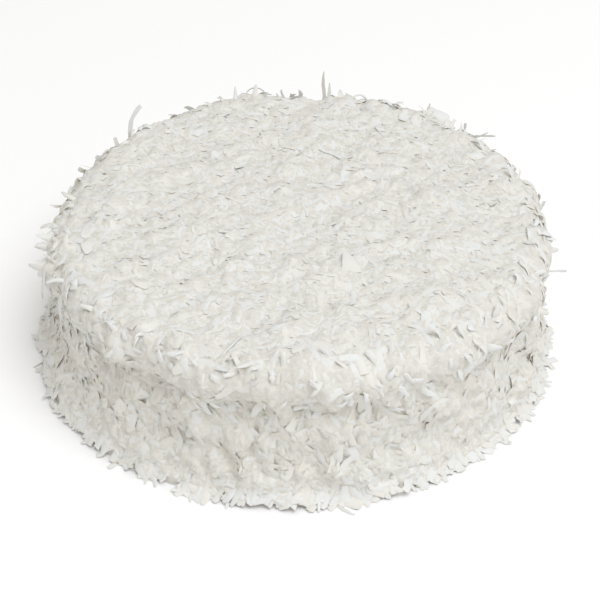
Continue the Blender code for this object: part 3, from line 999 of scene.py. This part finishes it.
class CoconutCoatSettings(PropertyGroup):
    """Sizes and numbers of the shreds."""

    seed: IntProperty(name="Seed", description="Start of the random draws", default=7)
    top_length: FloatVectorProperty(
        name="Top length", description="Shortest, usual and longest shred on the top",
        size=3, default=(5.0 * MM, 9.0 * MM, 16.0 * MM), unit="LENGTH",
    )
    top_width: FloatVectorProperty(
        name="Top width", description="Narrowest, usual and widest shred on the top",
        size=3, default=(1.1 * MM, 2.3 * MM, 4.3 * MM), unit="LENGTH",
    )
    side_length: FloatVectorProperty(
        name="Side length", description="Shortest, usual and longest shred on the side",
        size=3, default=(6.0 * MM, 11.5 * MM, 20.0 * MM), unit="LENGTH",
    )
    side_width: FloatVectorProperty(
        name="Side width", description="Narrowest, usual and widest shred on the side",
        size=3, default=(2.2 * MM, 3.9 * MM, 6.2 * MM), unit="LENGTH",
    )
    top_count: IntProperty(name="Top shreds", description="Shreds laid on the top", default=7400)
    side_count: IntProperty(name="Side shreds", description="Shreds laid on the side", default=4500)
    rim_count: IntProperty(name="Rim shreds", description="Shreds laid over the rim", default=2800)
    foot_count: IntProperty(name="Foot shreds", description="Shreds laid at the foot", default=3700)
    flake_count: IntProperty(name="Flakes", description="Fine flakes laid on the top", default=9000)
    top_icing_depth: FloatProperty(
        name="Top icing depth", description="Icing's depth under the smoothed coconut on the top",
        default=-0.08 * MM, unit="LENGTH",
    )
    side_icing_depth: FloatProperty(
        name="Side icing depth", description="Icing's depth under the smoothed coconut on the side",
        default=-0.28 * MM, unit="LENGTH",
    )


class CakeColours(PropertyGroup):
    """Colours as sRGB hex."""

    white: StringProperty(name="White", description="Most of the coconut", default="#E3E5E4")
    cream: StringProperty(name="Cream", description="Riper coconut", default="#E4E2DB")
    tan: StringProperty(name="Tan", description="Edges with some of the nut's skin", default="#DCCDB0")
    # Crease is painted shade: the duller, warmer colour that coconut deep in the coat is mixed towards.
    crease: StringProperty(name="Crease", description="Coconut deep in the coat", default="#DFDACE")
    icing: StringProperty(name="Icing", description="Icing between the shreds", default="#E3E0D8")
    floor: StringProperty(name="Floor", description="The pale floor", default="#FCFCFC")
    sky: StringProperty(name="Sky", description="The even light all round", default="#FFFCF7")
    key: StringProperty(name="Key", description="The soft main light", default="#F7FAFF")


class StudioSettings(PropertyGroup):
    """Camera and lights of the studio."""

    lens: FloatProperty(name="Lens", description="Focal length in millimetres", default=90.0)
    camera_place: FloatVectorProperty(
        name="Camera", description="Camera's place from the cake's axis", size=3,
        default=(0.6 * MM, -554.8 * MM, 447.5 * MM), unit="LENGTH",
    )
    camera_pitch: FloatProperty(
        name="Pitch", description="How far the camera looks down",
        default=math.radians(37.81), subtype="ANGLE",
    )
    sky: FloatProperty(name="Sky", description="Strength of the even light all round", default=0.57)
    key: FloatProperty(name="Key", description="Power of the soft main light", default=61.5)
    key_place: FloatVectorProperty(
        name="Key place", description="Place of the main light", size=3,
        default=(0.82, -1.0, 2.75), unit="LENGTH",
    )
    key_size: FloatProperty(
        name="Key size", description="Width of the main light", default=2.2, unit="LENGTH",
    )


class CAKE_OT_icing(Operator):
    """Adds the iced cake under the coconut"""

    bl_idname = "cake.add_icing"
    bl_label = "Add icing"

    def execute(self, context):
        # New icing gets coconut laid anew, by the settings as they are now.
        coat.cache_clear()
        add_icing("icing_top", disc_places(), grid_faces(ICING_CELLS + 1, ICING_CELLS + 1))
        columns = 4 * ICING_CELLS
        run = np.linspace(ICING_SEAM, FOOT_END - ICING_STOP, ICING_ROWS)
        run = np.concatenate([run, run[-1:], run[-1:]])
        bearing = np.arange(columns) / columns * 2.0 * math.pi
        place = np.stack([np.outer(run, np.cos(bearing)), np.outer(run, np.sin(bearing))], axis=-1)
        add_icing("icing_side", place, grid_faces(len(run), columns, closed=True), shut=True)
        return {"FINISHED"}


class CAKE_OT_top(Operator):
    """Adds the coconut pressed onto the top"""

    bl_idname = "cake.add_top"
    bl_label = "Add top coconut"

    def execute(self, context):
        add_kind("top_shreds")
        add_kind("top_flakes")
        return {"FINISHED"}


class CAKE_OT_side(Operator):
    """Adds the coconut that hangs on the side"""

    bl_idname = "cake.add_side"
    bl_label = "Add side coconut"

    def execute(self, context):
        add_kind("side_shreds")
        add_kind("side_flakes")
        return {"FINISHED"}


class CAKE_OT_rim(Operator):
    """Adds the coconut that bristles over the rim"""

    bl_idname = "cake.add_rim"
    bl_label = "Add rim coconut"

    def execute(self, context):
        add_kind("rim_shreds")
        short = fringe(np.random.default_rng(context.scene.coconut_coat.seed))
        add_sprouts("fringe_shreds", short, FRINGE_RINGS, FRINGE_SEED)
        add_sprouts("standing_shreds", STANDING, STANDING_RINGS, STANDING_SEED)
        return {"FINISHED"}


class CAKE_OT_foot(Operator):
    """Adds the coconut spilt round the foot"""

    bl_idname = "cake.add_foot"
    bl_label = "Add foot coconut"

    def execute(self, context):
        add_kind("foot_shreds")
        return {"FINISHED"}


# Half the width of the floor, in metres.
FLOOR_REACH = 6.0


def soft_light(name, place, target, size, power, colour):
    """A square area light that faces a target."""
    data = bpy.data.lights.new(name, "AREA")
    data.size, data.energy, data.color = size, power, linear(colour)[:3]
    light = bpy.data.objects.new(name, data)
    light.location = place
    light.rotation_euler = (Vector(target) - Vector(place)).to_track_quat("-Z", "Y").to_euler()
    bpy.context.scene.collection.objects.link(light)


class CAKE_OT_studio(Operator):
    """Adds the floor, the lights and the camera"""

    bl_idname = "cake.add_studio"
    bl_label = "Add studio"

    def execute(self, context):
        studio = context.scene.cake_studio
        colours = context.scene.cake_colours
        material, _, shader = new_material("pale_floor", roughness=0.9, ior=1.5)
        shader.inputs["Base Color"].default_value = linear(colours.floor)
        corners = FLOOR_REACH * np.array([[-1, -1, 0], [1, -1, 0], [1, 1, 0], [-1, 1, 0]])
        floor = mesh_object("floor", corners, np.array([[0, 1, 2, 3]]))
        floor.data.materials.append(material)
        world = bpy.data.worlds.new("studio")
        world.use_nodes = True
        sky = world.node_tree.nodes["Background"].inputs
        sky["Color"].default_value, sky["Strength"].default_value = linear(colours.sky), studio.sky
        context.scene.world = world
        middle = (0.0, 0.0, 0.5 * ICED_HEIGHT)
        soft_light("key", studio.key_place, middle, studio.key_size, studio.key, colours.key)
        data = bpy.data.cameras.new("camera")
        data.lens, data.sensor_width = studio.lens, 36.0
        camera = bpy.data.objects.new("camera", data)
        offset = Vector(studio.camera_place)
        camera.location = (AXIS[0] + offset.x, AXIS[1] + offset.y, offset.z)
        camera.rotation_euler = (0.5 * math.pi - studio.camera_pitch, 0.0, 0.0)
        context.scene.collection.objects.link(camera)
        context.scene.camera = camera
        context.scene.view_settings.view_transform = "Standard"
        return {"FINISHED"}


class CAKE_PT_sidebar(Panel):
    """Lists the pieces of the coconut cake"""

    bl_idname = "CAKE_PT_sidebar"
    bl_label = "Coconut cake"
    bl_space_type = "VIEW_3D"
    bl_region_type = "UI"
    bl_category = "Coconut cake"

    def draw(self, context):
        for operator in OPERATORS:
            self.layout.operator(operator.bl_idname)
        for group in SETTINGS:
            settings = getattr(context.scene, group)
            for name in settings.bl_rna.properties.keys():
                if name not in ("rna_type", "name"):
                    self.layout.prop(settings, name)


SETTINGS = {
    "coconut_coat": CoconutCoatSettings,
    "cake_colours": CakeColours,
    "cake_studio": StudioSettings,
}
OPERATORS = (CAKE_OT_icing, CAKE_OT_top, CAKE_OT_side, CAKE_OT_rim, CAKE_OT_foot, CAKE_OT_studio)
CLASSES = (*SETTINGS.values(), *OPERATORS, CAKE_PT_sidebar)


def register():
    """Registers the classes and hangs the settings on the scene."""
    for cls in CLASSES:
        bpy.utils.register_class(cls)
    for group, cls in SETTINGS.items():
        setattr(bpy.types.Scene, group, PointerProperty(type=cls))


def unregister():
    """Undoes what register does."""
    for group in SETTINGS:
        delattr(bpy.types.Scene, group)
    for cls in reversed(CLASSES):
        bpy.utils.unregister_class(cls)


def main():
    """Builds the cake piece by piece, then the stage."""
    register()
    bpy.ops.cake.add_icing()
    bpy.ops.cake.add_top()
    bpy.ops.cake.add_side()
    bpy.ops.cake.add_rim()
    bpy.ops.cake.add_foot()
    bpy.ops.cake.add_studio()


if __name__ == "__main__":
    main()
